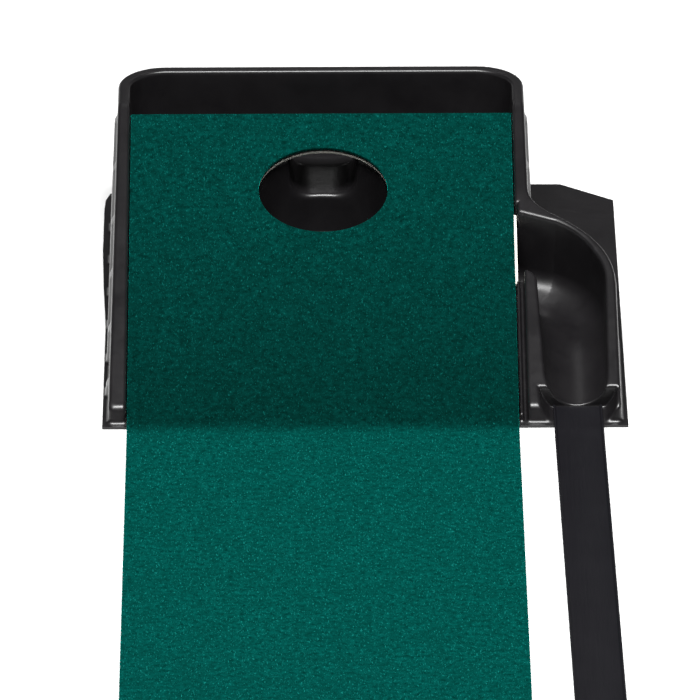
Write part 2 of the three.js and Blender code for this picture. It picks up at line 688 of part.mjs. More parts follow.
// Everything laid on the ramp is drawn flat, then turned up about the fold.
const ramp = new THREE.Group();
ramp.position.z = MAT_THICKNESS;
ramp.rotation.x = RAMP_SLOPE;
const rampSheet = box(-HALF_MAT, HALF_MAT, LAYER_GAP, RAMP_LENGTH);
ramp.add(piece('mat_pile_ramp', flatPiece(rampSheet, -PILE_THICKNESS, 0, hole), 'felt'));
ramp.add(piece(
	'mat_backing_ramp',
	flatPiece(rampSheet, -MAT_THICKNESS, BACKING_THICKNESS - MAT_THICKNESS, hole),
	'backing',
));
ramp.add(piece('ramp_board', flatPiece(boardOutline(), BOARD_BOTTOM, BOARD_TOP, boardHole), 'board'));
for (const [side, x] of [['left', -TAPE_X], ['right', TAPE_X]]) {
	for (const [end, along] of [['front', TAPE_FRONT], ['back', TAPE_BACK]]) {
		const outline = tapeOutline(x, along);
		const loop = flatPiece(outline, LOOP_TOP - TAPE_THICKNESS, LOOP_TOP);
		const hook = flatPiece(outline, HOOK_TOP - TAPE_THICKNESS, HOOK_TOP);
		ramp.add(piece(`loop_tape_${end}_${side}`, loop, 'tape'));
		ramp.add(piece(`hook_tape_${end}_${side}`, hook, 'tape'));
	}
}
assembly.add(ramp);

// The runner lies flat on the floor in front of the fold.
const runnerLength = MAT_LENGTH - RAMP_LENGTH;
const runnerSheet = box(-HALF_MAT, HALF_MAT, -runnerLength, -LAYER_GAP);
assembly.add(piece(
	'mat_pile_runner',
	flatPiece(runnerSheet, MAT_THICKNESS - PILE_THICKNESS, MAT_THICKNESS),
	'felt',
));
assembly.add(piece('mat_backing_runner', flatPiece(runnerSheet, 0, BACKING_THICKNESS), 'backing'));

// The origin goes to the middle of the footprint, on the floor.
const bounds = new THREE.Box3().setFromObject(assembly);
assembly.position.set(-(bounds.min.x + bounds.max.x) / 2, -(bounds.min.y + bounds.max.y) / 2, 0);

const part = new THREE.Group();
part.add(assembly);

export default part;
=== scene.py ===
# %% [markdown]
# # A practice putting mat
# A strip of green felt lies on the floor. Its far end climbs a short ramp in a black
# plastic tray. A ball that drops in the hole, or runs off the back into the pocket,
# rolls down a channel under the ramp and comes back along a side track.
#
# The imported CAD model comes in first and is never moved. The looks are built round it.

# %% Load the CAD frame
import math

import bmesh
import bpy
import numpy as np
from mathutils import Matrix, Vector
from mathutils.geometry import delaunay_2d_cdt


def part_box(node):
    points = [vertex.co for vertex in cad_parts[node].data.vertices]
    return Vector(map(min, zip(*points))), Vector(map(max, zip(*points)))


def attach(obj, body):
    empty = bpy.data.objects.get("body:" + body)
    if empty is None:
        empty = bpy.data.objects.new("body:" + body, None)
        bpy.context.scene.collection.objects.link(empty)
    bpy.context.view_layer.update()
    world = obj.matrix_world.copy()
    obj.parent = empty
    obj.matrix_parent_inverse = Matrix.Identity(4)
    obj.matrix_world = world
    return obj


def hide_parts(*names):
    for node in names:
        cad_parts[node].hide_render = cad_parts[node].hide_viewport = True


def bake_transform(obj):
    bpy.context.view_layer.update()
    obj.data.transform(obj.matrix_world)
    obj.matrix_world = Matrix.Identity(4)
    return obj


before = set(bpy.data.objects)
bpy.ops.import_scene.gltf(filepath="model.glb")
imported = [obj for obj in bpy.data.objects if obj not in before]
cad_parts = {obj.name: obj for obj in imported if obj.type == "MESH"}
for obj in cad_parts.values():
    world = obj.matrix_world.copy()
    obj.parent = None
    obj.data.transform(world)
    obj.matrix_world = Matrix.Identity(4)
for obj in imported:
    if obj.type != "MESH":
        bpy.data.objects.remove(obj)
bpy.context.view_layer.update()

# %% [markdown]
# ## The maker's own frame
# The tray is drawn as a toolmaker would draw it: in millimetres, with X = 0 on the
# middle of the mat, Y = 0 on the fold and Z = 0 on the floor. The box round the CAD
# tray says how far that frame is from the model's, so nothing is placed by eye.

# %% From the tray's millimetres to the model's metres
FLANGE_FRONT = 7.0
FLANGE_RIGHT = 237.5
tray_low, tray_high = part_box("tray")
SHIFT = np.array([tray_high.x * 1000 - FLANGE_RIGHT, tray_low.y * 1000 - FLANGE_FRONT, 0.0])


def to_metres(points):
    """Points in the tray's millimetres, as metres in the model's frame."""
    return (np.asarray(points, float) + SHIFT) / 1000


def new_object(name, mesh):
    obj = bpy.data.objects.new(name, mesh)
    bpy.context.scene.collection.objects.link(obj)
    return obj


print("shift, mm:", SHIFT.round(3))

# %% Sizes that the mat and the tray share
MAT_WIDTH = 305.0
MAT_LENGTH = 2438.0
MAT_TOP = 4.5
PILE = 2.8
RAMP_LENGTH = 378.6
SLOPE = math.radians(16.3)
HOLE_RADIUS = 51.5
HOLE_ALONG = 284.6
HOLE_X = 1.3
HOLE_Y = HOLE_ALONG * math.cos(SLOPE)


def ramp_height(y, above=0.0):
    """Height of the plane `above` the mat on the ramp, square to it."""
    return MAT_TOP + above / math.cos(SLOPE) + y * math.tan(SLOPE)


# %% [markdown]
# ## Camera
# A long lens, far away and 25 degrees above the floor. A near camera would make the
# sides of the mat run together, and a long lens keeps them almost parallel.

# %% Camera
CAMERA_AT = (-18.2, -7599.4, 3614.0)
CAMERA_PITCH = 25.0
CAMERA_YAW = -0.2958
CAMERA_ROLL = 0.1156
LENS_MM = 556.9
SENSOR_MM = 36
FAR_CLIP = 60


def camera_axes(yaw, pitch, roll):
    """Right, down and forward of a camera that looks along +Y before it is turned."""
    turn = np.array(Matrix.Rotation(yaw, 3, "Z"))
    forward, right, down = turn @ [0, 1, 0], turn @ [1, 0, 0], np.array([0, 0, -1.0])
    ahead = forward * math.cos(pitch) + down * math.sin(pitch)
    under = down * math.cos(pitch) - forward * math.sin(pitch)
    side = right * math.cos(roll) + under * math.sin(roll)
    return side, under * math.cos(roll) - right * math.sin(roll), ahead


camera_data = bpy.data.cameras.new("camera")
camera_data.lens = LENS_MM
camera_data.sensor_width = SENSOR_MM
camera_data.clip_end = FAR_CLIP
camera = new_object("camera", camera_data)
side, under, ahead = camera_axes(*(math.radians(a) for a in (CAMERA_YAW, CAMERA_PITCH, CAMERA_ROLL)))
matrix = Matrix([(side[i], -under[i], -ahead[i]) for i in range(3)]).to_4x4()
matrix.translation = to_metres(CAMERA_AT)
camera.matrix_world = matrix
bpy.context.scene.camera = camera
print("camera at", [round(v, 3) for v in camera.location])

# %% [markdown]
# ## Materials
# Every finish is made of noise in the piece's own coordinates, so no picture is needed
# and the grain stays on the piece when it moves. A shader drawn by hand in the node
# editor would do as well, but a few helpers keep each recipe short enough to read.


# %% A helper that wires nodes
def new_material(name, colour, roughness, **fixed):
    """A Principled material. `fixed` are sockets with one value all over the piece."""
    material = bpy.data.materials.new(name)
    material.use_nodes = True
    shader = material.node_tree.nodes["Principled BSDF"]
    shader.inputs["Base Color"].default_value = (*colour, 1)
    shader.inputs["Roughness"].default_value = roughness
    for socket, value in fixed.items():
        shader.inputs[socket.replace("_", " ")].default_value = value
    return material, shader


def add_node(material, kind, inputs=None, **settings):
    """One node. An input is a plain value, or the output of another node."""
    node = material.node_tree.nodes.new(kind)
    for name, value in settings.items():
        setattr(node, name, value)
    for name, value in (inputs or {}).items():
        if isinstance(value, bpy.types.NodeSocket):
            material.node_tree.links.new(value, node.inputs[name])
        else:
            node.inputs[name].default_value = value
    return node


def object_coordinates(material, scale=(1, 1, 1), turn=0.0):
    where = add_node(material, "ShaderNodeTexCoord").outputs["Object"]
    mapping = add_node(material, "ShaderNodeMapping", {"Vector": where})
    mapping.inputs["Scale"].default_value = scale
    mapping.inputs["Rotation"].default_value = (0, 0, turn)
    return mapping.outputs["Vector"]


def noise(material, size_mm, detail=2.0, rough=0.5, vector=None, distortion=0.0):
    """Noise whose lumps are about `size_mm` across."""
    vector = vector or object_coordinates(material)
    node = add_node(material, "ShaderNodeTexNoise", {
        "Vector": vector, "Scale": 1000 / size_mm, "Detail": detail,
        "Roughness": rough, "Distortion": distortion,
    })
    return node.outputs["Fac"]


def spread(material, value, low, high, to_low=0.0, to_high=1.0):
    """Stretches a value from one range to another, without going past its ends."""
    return add_node(material, "ShaderNodeMapRange", {
        "Value": value, "From Min": low, "From Max": high, "To Min": to_low, "To Max": to_high,
    }).outputs["Result"]


MIX_FACTOR, MIX_FIRST, MIX_SECOND = 0, 6, 7
MIX_COLOUR_OUT = 2


def mix_colours(material, factor, first, second):
    """The Mix node has a set of sockets for each kind of value, so colours go by number."""
    node = add_node(material, "ShaderNodeMix", data_type="RGBA")
    for number, value in ((MIX_FACTOR, factor), (MIX_FIRST, first), (MIX_SECOND, second)):
        socket = node.inputs[number]
        if isinstance(value, bpy.types.NodeSocket):
            material.node_tree.links.new(value, socket)
        else:
            socket.default_value = value if isinstance(value, float) else (*value, 1)
    return node.outputs[MIX_COLOUR_OUT]


def add_values(material, *values):
    total = values[0]
    for value in values[1:]:
        total = add_node(material, "ShaderNodeMath", {0: total, 1: value}, operation="ADD").outputs[0]
    return total


def times(material, value, factor):
    return add_node(material, "ShaderNodeMath", {0: value, 1: factor}, operation="MULTIPLY").outputs[0]


def set_bump(material, shader, height, depth_mm, strength):
    node = add_node(material, "ShaderNodeBump", {
        "Height": height, "Distance": depth_mm / 1000, "Strength": strength,
    })
    material.node_tree.links.new(node.outputs["Normal"], shader.inputs["Normal"])


def connect(material, value, shader, socket):
    material.node_tree.links.new(value, shader.inputs[socket])


# %% [markdown]
# ### Black formed plastic
# The tray is polystyrene sheet, heated and sucked down over a mould. The mould's
# blasted surface leaves a fine even grain, and the sheet is a little wavy. One bump
# with two sizes of noise gives both: the fine one softens the highlights, the broad
# one makes them wander. Colour alone would look like paint.


# %% Tray plastic
def make_tray_plastic():
    material, shader = new_material("tray_plastic", (0.012, 0.0118, 0.0124), 0.27, IOR=1.5)
    wear = spread(material, noise(material, 38, 4, 0.6), 0.35, 0.7)
    cloud = spread(material, noise(material, 9, 3), 0.3, 0.7)
    colour = mix_colours(material, wear, (0.0058, 0.0053, 0.0060), (0.0085, 0.0078, 0.0086))
    connect(material, colour, shader, "Base Color")
    rough = add_values(material, spread(material, cloud, 0, 1, 0.29, 0.35), times(material, wear, 0.04))
    connect(material, rough, shader, "Roughness")
    grain = add_values(
        material,
        times(material, noise(material, 0.9, 3, 0.6), 0.05),
        times(material, noise(material, 22, 1), 0.08),
    )
    set_bump(material, shader, grain, depth_mm=1.0, strength=0.7)
    return material


tray_plastic = make_tray_plastic()

# %% [markdown]
# ### Felt
# Needle felt is a mat of cut fibres, punched together. Up close it is a tangle of
# light and dark strands, one or two millimetres long, on a blue-green ground. Real
# hair on a mat this long would be far too heavy, so three stretched noises, turned
# three ways, stand for the strands, and sheen gives the soft light of loose fibre.
# On the ramp the felt is mixed with a darker tone. This is painted shade for the ramp's
# tilt away from the light: darkest at the foot of the ramp, fading towards its top.


# %% Felt
FOLD_AT = float(to_metres((0, 0, 0))[1])
RAMP_FADE = 0.36


def felt_strands(material):
    """How many of three sets of short strands, turned three ways, cross a place."""
    sets = []
    for turn, size_mm in ((0.3, 1.1), (1.4, 1.17), (2.5, 1.23)):
        stretched = object_coordinates(material, (1, 0.35, 1), turn)
        sets.append(spread(material, noise(material, size_mm, 2, 0.6, stretched), 0.54, 0.68))
    return add_values(material, *sets)


def painted_ramp_shade(material):
    """How much painted shade darkens the felt: nothing on the floor, most at the foot of the ramp."""
    along = add_node(material, "ShaderNodeSeparateXYZ", {"Vector": object_coordinates(material)}).outputs["Y"]
    climb = spread(material, along, FOLD_AT, FOLD_AT + RAMP_FADE, 0.62, 0.28)
    return times(material, spread(material, along, FOLD_AT - 0.012, FOLD_AT + 0.006), climb)


def make_felt():
    material, shader = new_material("felt", (0.001, 0.06, 0.049), 1.0, Sheen_Weight=1.0, Sheen_Roughness=0.28)
    shader.inputs["Sheen Tint"].default_value = (0.0, 0.5, 0.41, 1)
    shader.inputs["Specular IOR Level"].default_value = 0.0
    strands = felt_strands(material)
    lumps = spread(material, noise(material, 4.5, 5, 0.68), 0.33, 0.67)
    clouds = spread(material, noise(material, 16, 3, 0.6), 0.38, 0.62)
    ground = mix_colours(material, lumps, (0.0001, 0.017, 0.014), (0.0008, 0.060, 0.050))
    ground = mix_colours(material, times(material, clouds, 0.45), ground, (0.0005, 0.026, 0.021))
    bright = spread(material, strands, 0.7, 2.4)
    colour = mix_colours(material, times(material, bright, 0.8), ground, (0.008, 0.190, 0.165))
    # Painted shade: the felt on the ramp is darkened most at its foot, less towards the top.
    colour = mix_colours(material, painted_ramp_shade(material), colour, (0.0004, 0.003, 0.002))
    connect(material, colour, shader, "Base Color")
    height = add_values(material, times(material, strands, 0.10), times(material, lumps, 0.35))
    set_bump(material, shader, height, depth_mm=1.0, strength=0.55)
    return material


felt = make_felt()

# %% [markdown]
# ### Backing, board, track and tapes
# Under the felt is a dull rubber backing. The board that carries the ramp is pale
# plastic sheet. The return track is extruded, so its faint lines run along it: a noise
# that is hardly stretched across and much along gives them. The tapes are woven hooks
# and loops, which Voronoi cells show better than noise.


# %% Backing, board, track and tapes
def make_backing():
    material, shader = new_material("backing", (0.014, 0.015, 0.014), 0.85)
    tint = mix_colours(material, noise(material, 3, 3), (0.010, 0.011, 0.010), (0.020, 0.021, 0.020))
    connect(material, tint, shader, "Base Color")
    set_bump(material, shader, noise(material, 1.6, 3), depth_mm=0.25, strength=0.6)
    return material


def make_board():
    material, shader = new_material("board", (0.84, 0.82, 0.75), 0.5)
    tint = mix_colours(material, noise(material, 12, 4), (0.80, 0.77, 0.68), (0.88, 0.86, 0.79))
    connect(material, tint, shader, "Base Color")
    connect(material, spread(material, noise(material, 4, 2), 0, 1, 0.42, 0.6), shader, "Roughness")
    set_bump(material, shader, noise(material, 1.2, 3), depth_mm=0.08, strength=0.5)
    return material


def make_track_plastic():
    material, shader = new_material("track_plastic", (0.010, 0.0096, 0.012), 0.5, Specular_IOR_Level=0.12)
    along = object_coordinates(material, (1, 0.02, 1))
    lines = noise(material, 1.4, 3, 0.6, along)
    cloud = noise(material, 30, 3)
    tint = mix_colours(material, cloud, (0.0045, 0.0043, 0.0058), (0.0065, 0.0063, 0.0080))
    connect(material, tint, shader, "Base Color")
    rough = add_values(material, spread(material, lines, 0.3, 0.7, 0.42, 0.56), times(material, cloud, 0.06))
    connect(material, rough, shader, "Roughness")
    set_bump(material, shader, lines, depth_mm=0.06, strength=0.6)
    return material


def make_tape(name, tone, lump_mm):
    material, shader = new_material(name, (tone, tone, tone), 0.95, Sheen_Weight=0.3)
    loops = add_node(material, "ShaderNodeTexVoronoi", {
        "Vector": object_coordinates(material), "Scale": 1000 / lump_mm, "Randomness": 0.8,
    }).outputs["Distance"]
    tint = mix_colours(material, loops, (tone * 0.5,) * 3, (tone * 1.9,) * 3)
    connect(material, tint, shader, "Base Color")
    set_bump(material, shader, loops, depth_mm=0.5, strength=0.8)
    return material


backing_rubber = make_backing()
board_plastic = make_board()
track_plastic = make_track_plastic()
hook_tape = make_tape("hook_tape", 0.012, 1.5)
loop_tape = make_tape("loop_tape", 0.02, 0.8)
print("materials:", [m.name for m in bpy.data.materials])

# %% [markdown]
# ## The tray
# A vacuum-formed tray has no sharp corner anywhere: the hot sheet stretches over
# every edge and hangs in every corner. Bevelling the CAD solid can't give that, since
# its edges cross at odd angles. So the mould is written as a field instead: a number
# for each point in space that is about the distance to the mould's skin, less than
# zero inside. The smaller of two fields joins two shapes and the larger keeps what they
# share. A rounded larger or smaller rolls a fillet along wherever they meet.


# %% Rounded joins of distance fields
def larger(a, b, fillet):
    blend = np.clip(0.5 + 0.5 * (a - b) / fillet, 0, 1)
    return b + (a - b) * blend + fillet * blend * (1 - blend)


def smaller(a, b, fillet):
    return -larger(-a, -b, fillet)


def polygon_distance(points, x, y):
    """Distance from (x, y) to a closed outline, negative inside it."""
    best = np.full(np.broadcast(x, y).shape, 1e9)
    inside = np.zeros(best.shape, bool)
    for (ax, ay), (bx, by) in zip(points, np.roll(points, -1, axis=0)):
        dx, dy = bx - ax, by - ay
        along = np.clip(((x - ax) * dx + (y - ay) * dy) / (dx * dx + dy * dy), 0, 1)
        best = np.minimum(best, (x - ax - along * dx) ** 2 + (y - ay - along * dy) ** 2)
        if dy:
            crosses = ((ay > y) != (by > y)) & (x < ax + dx * (y - ay) / dy)
            inside ^= crosses
    return np.where(inside, -1, 1) * np.sqrt(best)


CURVE_STEPS = 10


def bezier(a, b, c, d):
    t = np.linspace(0, 1, CURVE_STEPS, endpoint=False)[:, None]
    a, b, c, d = (np.array(p, float) for p in (a, b, c, d))
    return (1 - t) ** 3 * a + 3 * t * (1 - t) ** 2 * b + 3 * t * t * (1 - t) * c + t ** 3 * d


def arc(cx, cy, radius, start, end):
    angle = np.radians(np.linspace(start, end, CURVE_STEPS))
    return np.stack([cx + radius * np.cos(angle), cy + radius * np.sin(angle)], 1)


# %% [markdown]
# ### Outlines seen from above
# The body's wall is straight at the sides, round at the back corners, and swells out
# in an S round the bend of the chute. The flange round its foot has cut corners.

# %% The outlines that the tray stands on
WALL_FOOT = 167.7
FRONT_FOOT = 11.5
BACK_FOOT = 449.5
BACK_CORNER = 42.0
WALL_DRAFT = math.tan(math.radians(2.2))
RIM_LEVEL = 117.0
RIM_ABOVE_MAT = 5.0
CHUTE_WALL_X = 233.0
OUTLINE_FRONT = FRONT_FOOT - 30
SHOULDER_END = 270

wall_outline = np.vstack([
    [(-WALL_FOOT, OUTLINE_FRONT), (CHUTE_WALL_X, OUTLINE_FRONT), (CHUTE_WALL_X, FRONT_FOOT)],
    bezier((233.9, 158), (233.9, 198.3), (210.7, 220.7), (192.2, 235.3)),
    bezier((192.2, 235.3), (180.9, 244.2), (WALL_FOOT, 252.1), (WALL_FOOT, SHOULDER_END)),
    [(WALL_FOOT, SHOULDER_END)],
    arc(WALL_FOOT - BACK_CORNER, BACK_FOOT - BACK_CORNER, BACK_CORNER, 0, 90),
    arc(-WALL_FOOT + BACK_CORNER, BACK_FOOT - BACK_CORNER, BACK_CORNER, 90, 180),
])
flange_outline = np.array([
    (-171.8, 7), (237.5, 7), (237.5, 433.9), (195, 465.9), (-139.8, 465.9), (-159, 459.5),
    (-171.8, 449.9), (-175.2, 437), (-176, 421.1), (-176, 337.9), (-174.4, 270), (-171.8, 193.9),
])
print("outlines:", len(wall_outline), "and", len(flange_outline), "points")


# %% [markdown]
# ### Ribs and body
# A thin wall this tall would buckle, so ribs stand out of it: six on the left, two on
# the right and five at the back. Each has a flat face, sloping sides and a round top
# below the rim. The field for one rib serves all thirteen.

# %% The raised body with its stiffening ribs
RIB_PITCH = 62.5
RIBS_LEFT = 6
RIBS_RIGHT = 2
RIBS_BACK = (-2, -1, 0, 1, 2)
RIB_FIRST = 382.0
RIB_DROP = 18.0
RIB_HALF_WIDTH = 9.0
RIB_DEPTH = 2.2
RIB_TAPER = 0.008
RIB_SIDE_LEAN = 0.3
RIB_ROOT = 12
FRONT_LEAN = 0.336
FRONT_COSINE = 0.948


def rib_field(forward, beside, z, foot, top):
    """A rib on a wall that faces `forward`, with its middle where `beside` is 0."""
    out = forward - (foot - z * WALL_DRAFT + RIB_DEPTH + RIB_TAPER * (top - z))
    side = np.abs(beside) - RIB_HALF_WIDTH + RIB_SIDE_LEAN * out
    rib = larger(larger(out, side, fillet=4.0), z - top, fillet=5.0)
    return larger(rib, foot - RIB_ROOT - forward, fillet=1.0)


def rib_fields(x, y, z):
    """Every rib on the side and back walls."""
    ribs = 1e3
    places = [(-1, RIB_FIRST - i * RIB_PITCH) for i in range(RIBS_LEFT)]
    places += [(1, RIB_FIRST - i * RIB_PITCH) for i in range(RIBS_RIGHT)]
    for way, place in places:
        top = min(ramp_height(place, RIM_ABOVE_MAT), RIM_LEVEL) - RIB_DROP
        ribs = np.minimum(ribs, rib_field(way * x, y - place, z, WALL_FOOT, top))
    for i in RIBS_BACK:
        ribs = np.minimum(ribs, rib_field(y, x - i * RIB_PITCH, z, BACK_FOOT, RIM_LEVEL - RIB_DROP))
    return ribs


def body_field(x, y, z, wall_distance):
    rim = larger(z - RIM_LEVEL, (z - ramp_height(y, RIM_ABOVE_MAT)) * math.cos(SLOPE), fillet=1.5)
    front = (FRONT_FOOT + FRONT_LEAN * z - y) * FRONT_COSINE
    wall = wall_distance + z * WALL_DRAFT
    body = larger(larger(wall, front, fillet=5.0), rim, fillet=3.4)
    return smaller(body, rib_fields(x, y, z), fillet=2.0)


# %% [markdown]
# ### Hollows
# Each hollow is its own field: the bed that the ramp lies in, the back pocket, the
# trench from it to the cup, the cup, the ball channel, the landing for the track and
# the narrow groove beside the mat. The floors that a ball rolls on all fall a little,
# because only its own weight brings it back.

# %% Bed and pocket
SHEET_THICKNESS = 1.6
BED_HALF = 153.6
BED_END = 374
DECK_BELOW = 9.3
POCKET_FRONT, POCKET_BACK = 368, 434.5
POCKET_FRONT_RADIUS, POCKET_BACK_RADIUS = 3, 30
POCKET_DRAFT = 0.0437
POCKET_FLOOR = 61.5
POCKET_FLOOR_FALL = 0.0296


def deck_field(y, z):
    """The sloping deck that the tapes and the board lie on, negative above it."""
    return (ramp_height(y, -DECK_BELOW) - z) * math.cos(SLOPE)


def bed_field(x, y, z):
    floor = larger(deck_field(y, z), SHEET_THICKNESS - z, fillet=3.0)
    return larger(larger(np.abs(x) - BED_HALF, floor, fillet=2.0), y - BED_END, fillet=1.0)


def rounded_box(x, y, half_x, low_y, high_y, front_radius, back_radius):
    middle, half_y = (low_y + high_y) / 2, (high_y - low_y) / 2
    radius = np.where(y > middle, back_radius, front_radius)
    qx = np.abs(x) - half_x + radius
    qy = np.abs(y - middle) - half_y + radius
    return np.hypot(np.maximum(qx, 0), np.maximum(qy, 0)) + np.minimum(np.maximum(qx, qy), 0) - radius


def pocket_field(x, y, z):
    outline = (BED_HALF, POCKET_FRONT, POCKET_BACK, POCKET_FRONT_RADIUS, POCKET_BACK_RADIUS)
    wall = rounded_box(x, y, *outline) + (RIM_LEVEL - z) * POCKET_DRAFT
    floor = POCKET_FLOOR + np.abs(x - HOLE_X) * POCKET_FLOOR_FALL
    return larger(wall, floor - z, fillet=7.0)


# %% Trench and cup
TRENCH_HALF = 26
TRENCH_FRONT, TRENCH_BACK = 310, 385
TRENCH_FLOOR = 54.5
TRENCH_FLOOR_AT = 318
TRENCH_FALL = 0.11
TRENCH_ROUND = 20.0
CUP_RADIUS = 51
CUP_RADIUS_LEVEL = 26
CUP_DRAFT = 0.082
CUP_FLOOR = 20
CUP_DISH = 0.06


def trench_field(x, y, z):
    floor = TRENCH_FLOOR + (y - TRENCH_FLOOR_AT) * TRENCH_FALL
    across = np.abs(x - HOLE_X) - TRENCH_HALF
    ends = np.maximum(TRENCH_FRONT - y, y - TRENCH_BACK)
    return larger(larger(across, floor - z, fillet=TRENCH_ROUND), ends, fillet=1.0)


def cup_field(x, y, z):
    reach = np.hypot(x - HOLE_X, y - HOLE_Y)
    wall = reach - CUP_RADIUS - (z - CUP_RADIUS_LEVEL) * CUP_DRAFT
    floor = CUP_FLOOR + CUP_DISH * reach - z
    return larger(wall, floor, fillet=2.5)


# %% [markdown]
# The ball channel runs straight out of the cup, turns right round a bend and comes
# down the chute. For each point the nearest place on that path gives how far along
# it is and how far to the side, and a rounded section is laid out from those two.

# %% The path of the ball
EXIT_ANGLE = math.radians(-23.3)
BEND_RADIUS = 42.0
CHUTE_X = 198.2
CHUTE_END = 38.0

exit_way = np.array([math.cos(EXIT_ANGLE), math.sin(EXIT_ANGLE)])
corner = (CHUTE_X - HOLE_X) / exit_way[0]
tangent = BEND_RADIUS * math.tan((EXIT_ANGLE + math.pi / 2) / 2)
straight_length = corner - tangent
bend_length = BEND_RADIUS * (EXIT_ANGLE + math.pi / 2)
bend_end_y = HOLE_Y + corner * exit_way[1] - tangent
channel_length = straight_length + bend_length + bend_end_y - CHUTE_END


def along_channel(x, y):
    """How far along the ball's path the nearest point is, and how far to its right."""
    px, py = x - HOLE_X, y - HOLE_Y
    s_exit = px * exit_way[0] + py * exit_way[1]
    u_exit = px * exit_way[1] - py * exit_way[0]
    over = np.maximum(s_exit - straight_length, 0)
    d_exit = np.hypot(u_exit, over)
    cx, cy = x - (CHUTE_X - BEND_RADIUS), y - bend_end_y
    radius = np.hypot(cx, cy)
    angle = np.arctan2(cy, cx)
    in_bend = (angle >= 0) & (angle <= EXIT_ANGLE + math.pi / 2)
    s_bend = straight_length + (EXIT_ANGLE + math.pi / 2 - angle) * BEND_RADIUS
    d_bend = np.where(in_bend, np.abs(radius - BEND_RADIUS), 1e6)
    s_chute = straight_length + bend_length + bend_end_y - y
    d_chute = np.hypot(CHUTE_X - x, np.maximum(y - bend_end_y, 0))
    pick = np.argmin(np.stack(np.broadcast_arrays(d_exit, d_bend, d_chute)), axis=0)
    s = np.choose(pick, [np.minimum(s_exit, straight_length), s_bend, s_chute])
    u = np.choose(pick, [u_exit, BEND_RADIUS - radius, CHUTE_X - x + 0 * y])
    return s, u


print("ball channel:", round(channel_length, 1), "mm long")

# %% The channel's section
OUTER_FLARE, INNER_FLARE = 30, 50
OUTER_WIDTHS = (28, 29.4, 23.8)
INNER_WIDTHS = (38, 27.5, 27.5, 24.8)
OUTER_SETTLES = 0.55
MOUTH_LENGTH = 22
MOUTH_WIDTH = 22.4
FLOOR_AT_CUP, FLOOR_AT_END = 22, 4.6
FLOOR_ROUND = 20.0
CHANNEL_DRAFT = 0.052
TINY = 1e-9


def half_width(s, u):
    """From the path to the wall: the outer wall is on the left of the ball, where u < 0."""
    mouth = channel_length - MOUTH_LENGTH
    bend_end = straight_length + bend_length
    settled = straight_length + OUTER_SETTLES * bend_length
    outer = np.interp(s, [straight_length - OUTER_FLARE, straight_length, settled], OUTER_WIDTHS)
    inner = np.interp(s, [straight_length - INNER_FLARE, straight_length, bend_end, mouth], INNER_WIDTHS)
    width = np.where(u > 0, inner, outer)
    narrow = (np.clip(s - mouth, 0, MOUTH_LENGTH) / MOUTH_LENGTH) ** 2
    return width + (MOUTH_WIDTH - width) * narrow


def channel_field(s, u, z):
    """Half an ellipse below, walls with a slight draft above."""
    width = half_width(s, u)
    floor = FLOOR_AT_CUP + (FLOOR_AT_END - FLOOR_AT_CUP) * np.clip(s / channel_length, 0, 1)
    below = floor + FLOOR_ROUND - z
    reach = np.sqrt((u / width) ** 2 + (below / FLOOR_ROUND) ** 2) + TINY
    steep = np.sqrt((u / width ** 2) ** 2 + (below / FLOOR_ROUND ** 2) ** 2) + TINY
    walls = np.abs(u) - width + CHANNEL_DRAFT * below
    section = np.where(below > 0, (reach - 1) * reach / steep, walls)
    return larger(section, np.maximum(-s, s - channel_length), fillet=1.0)


# %% [markdown]
# The landing at the chute's end is half a pipe, flattened at the bottom where the track
# lies. The groove beside the mat has a ledge under the mat's edge and a deeper slot
# beyond it. A notch in its side takes the board's tab over the exit.

# %% Landing and groove
TRACK_X = 199
LANDING_RADIUS = 31
LANDING_LEVEL = 25
GROOVE_INNER, SLOT_INNER, GROOVE_OUTER = BED_HALF - 1, 156, 159.3
LEDGE_BELOW, SLOT_BELOW = 1.0, 7.0
GROOVE_STOP = 95
NOTCH_START, NOTCH_END, NOTCH_SIDE = 167.3, 250.6, 155.7


def landing_field(x, y, z):
    section = np.hypot(x - TRACK_X, np.minimum(z - LANDING_LEVEL, 0)) - LANDING_RADIUS
    return larger(larger(section, SHEET_THICKNESS - z, fillet=2.5), y - CHUTE_END, fillet=1.5)


def groove_field(x, y, z):
    ledge = (ramp_height(y, -LEDGE_BELOW) - z) * math.cos(SLOPE)
    bottom = (ramp_height(y, -SLOT_BELOW) - z) * math.cos(SLOPE)
    step = larger(np.maximum(GROOVE_INNER - x, x - GROOVE_OUTER), ledge, fillet=1.2)
    slot = larger(np.maximum(SLOT_INNER - x, x - GROOVE_OUTER), bottom, fillet=1.6)
    groove = np.maximum(smaller(step, slot, fillet=1.2), y - HOLE_Y + GROOVE_STOP)
    notch_ends = np.maximum(NOTCH_START - y, y - NOTCH_END)
    notch = larger(np.maximum(GROOVE_INNER - x, x - NOTCH_SIDE), notch_ends, fillet=0.6)
    notch = larger(notch, deck_field(y, z), fillet=0.6)
    return np.maximum(smaller(groove, notch, fillet=0.6), SHEET_THICKNESS - z)


# %% [markdown]
# ### The whole mould
# The hollows are joined to each other, cut from the body, and the flange is laid
# round it. Fillets are a few millimetres, as on the real tray.


# %% The mould's field
def plan_maps(x, y):
    """The parts of the field that don't depend on height."""
    s, u = along_channel(x, y)
    return polygon_distance(wall_outline, x, y), s, u


def mould_field(x, y, z, maps):
    wall_distance, s, u = maps
    hollow = smaller(cup_field(x, y, z), channel_field(s, u, z), fillet=4.0)
    hollow = smaller(hollow, trench_field(x, y, z), fillet=4.0)
    hollow = smaller(hollow, pocket_field(x, y, z), fillet=3.0)
    hollow = smaller(hollow, bed_field(x, y, z), fillet=2.2)
    hollow = smaller(hollow, groove_field(x, y, z), fillet=1.2)
    hollow = smaller(hollow, landing_field(x, y, z), fillet=1.6)
    body = larger(body_field(x, y, z, wall_distance), -hollow, fillet=3.0)
    return smaller(body, z - SHEET_THICKNESS, fillet=3.2)


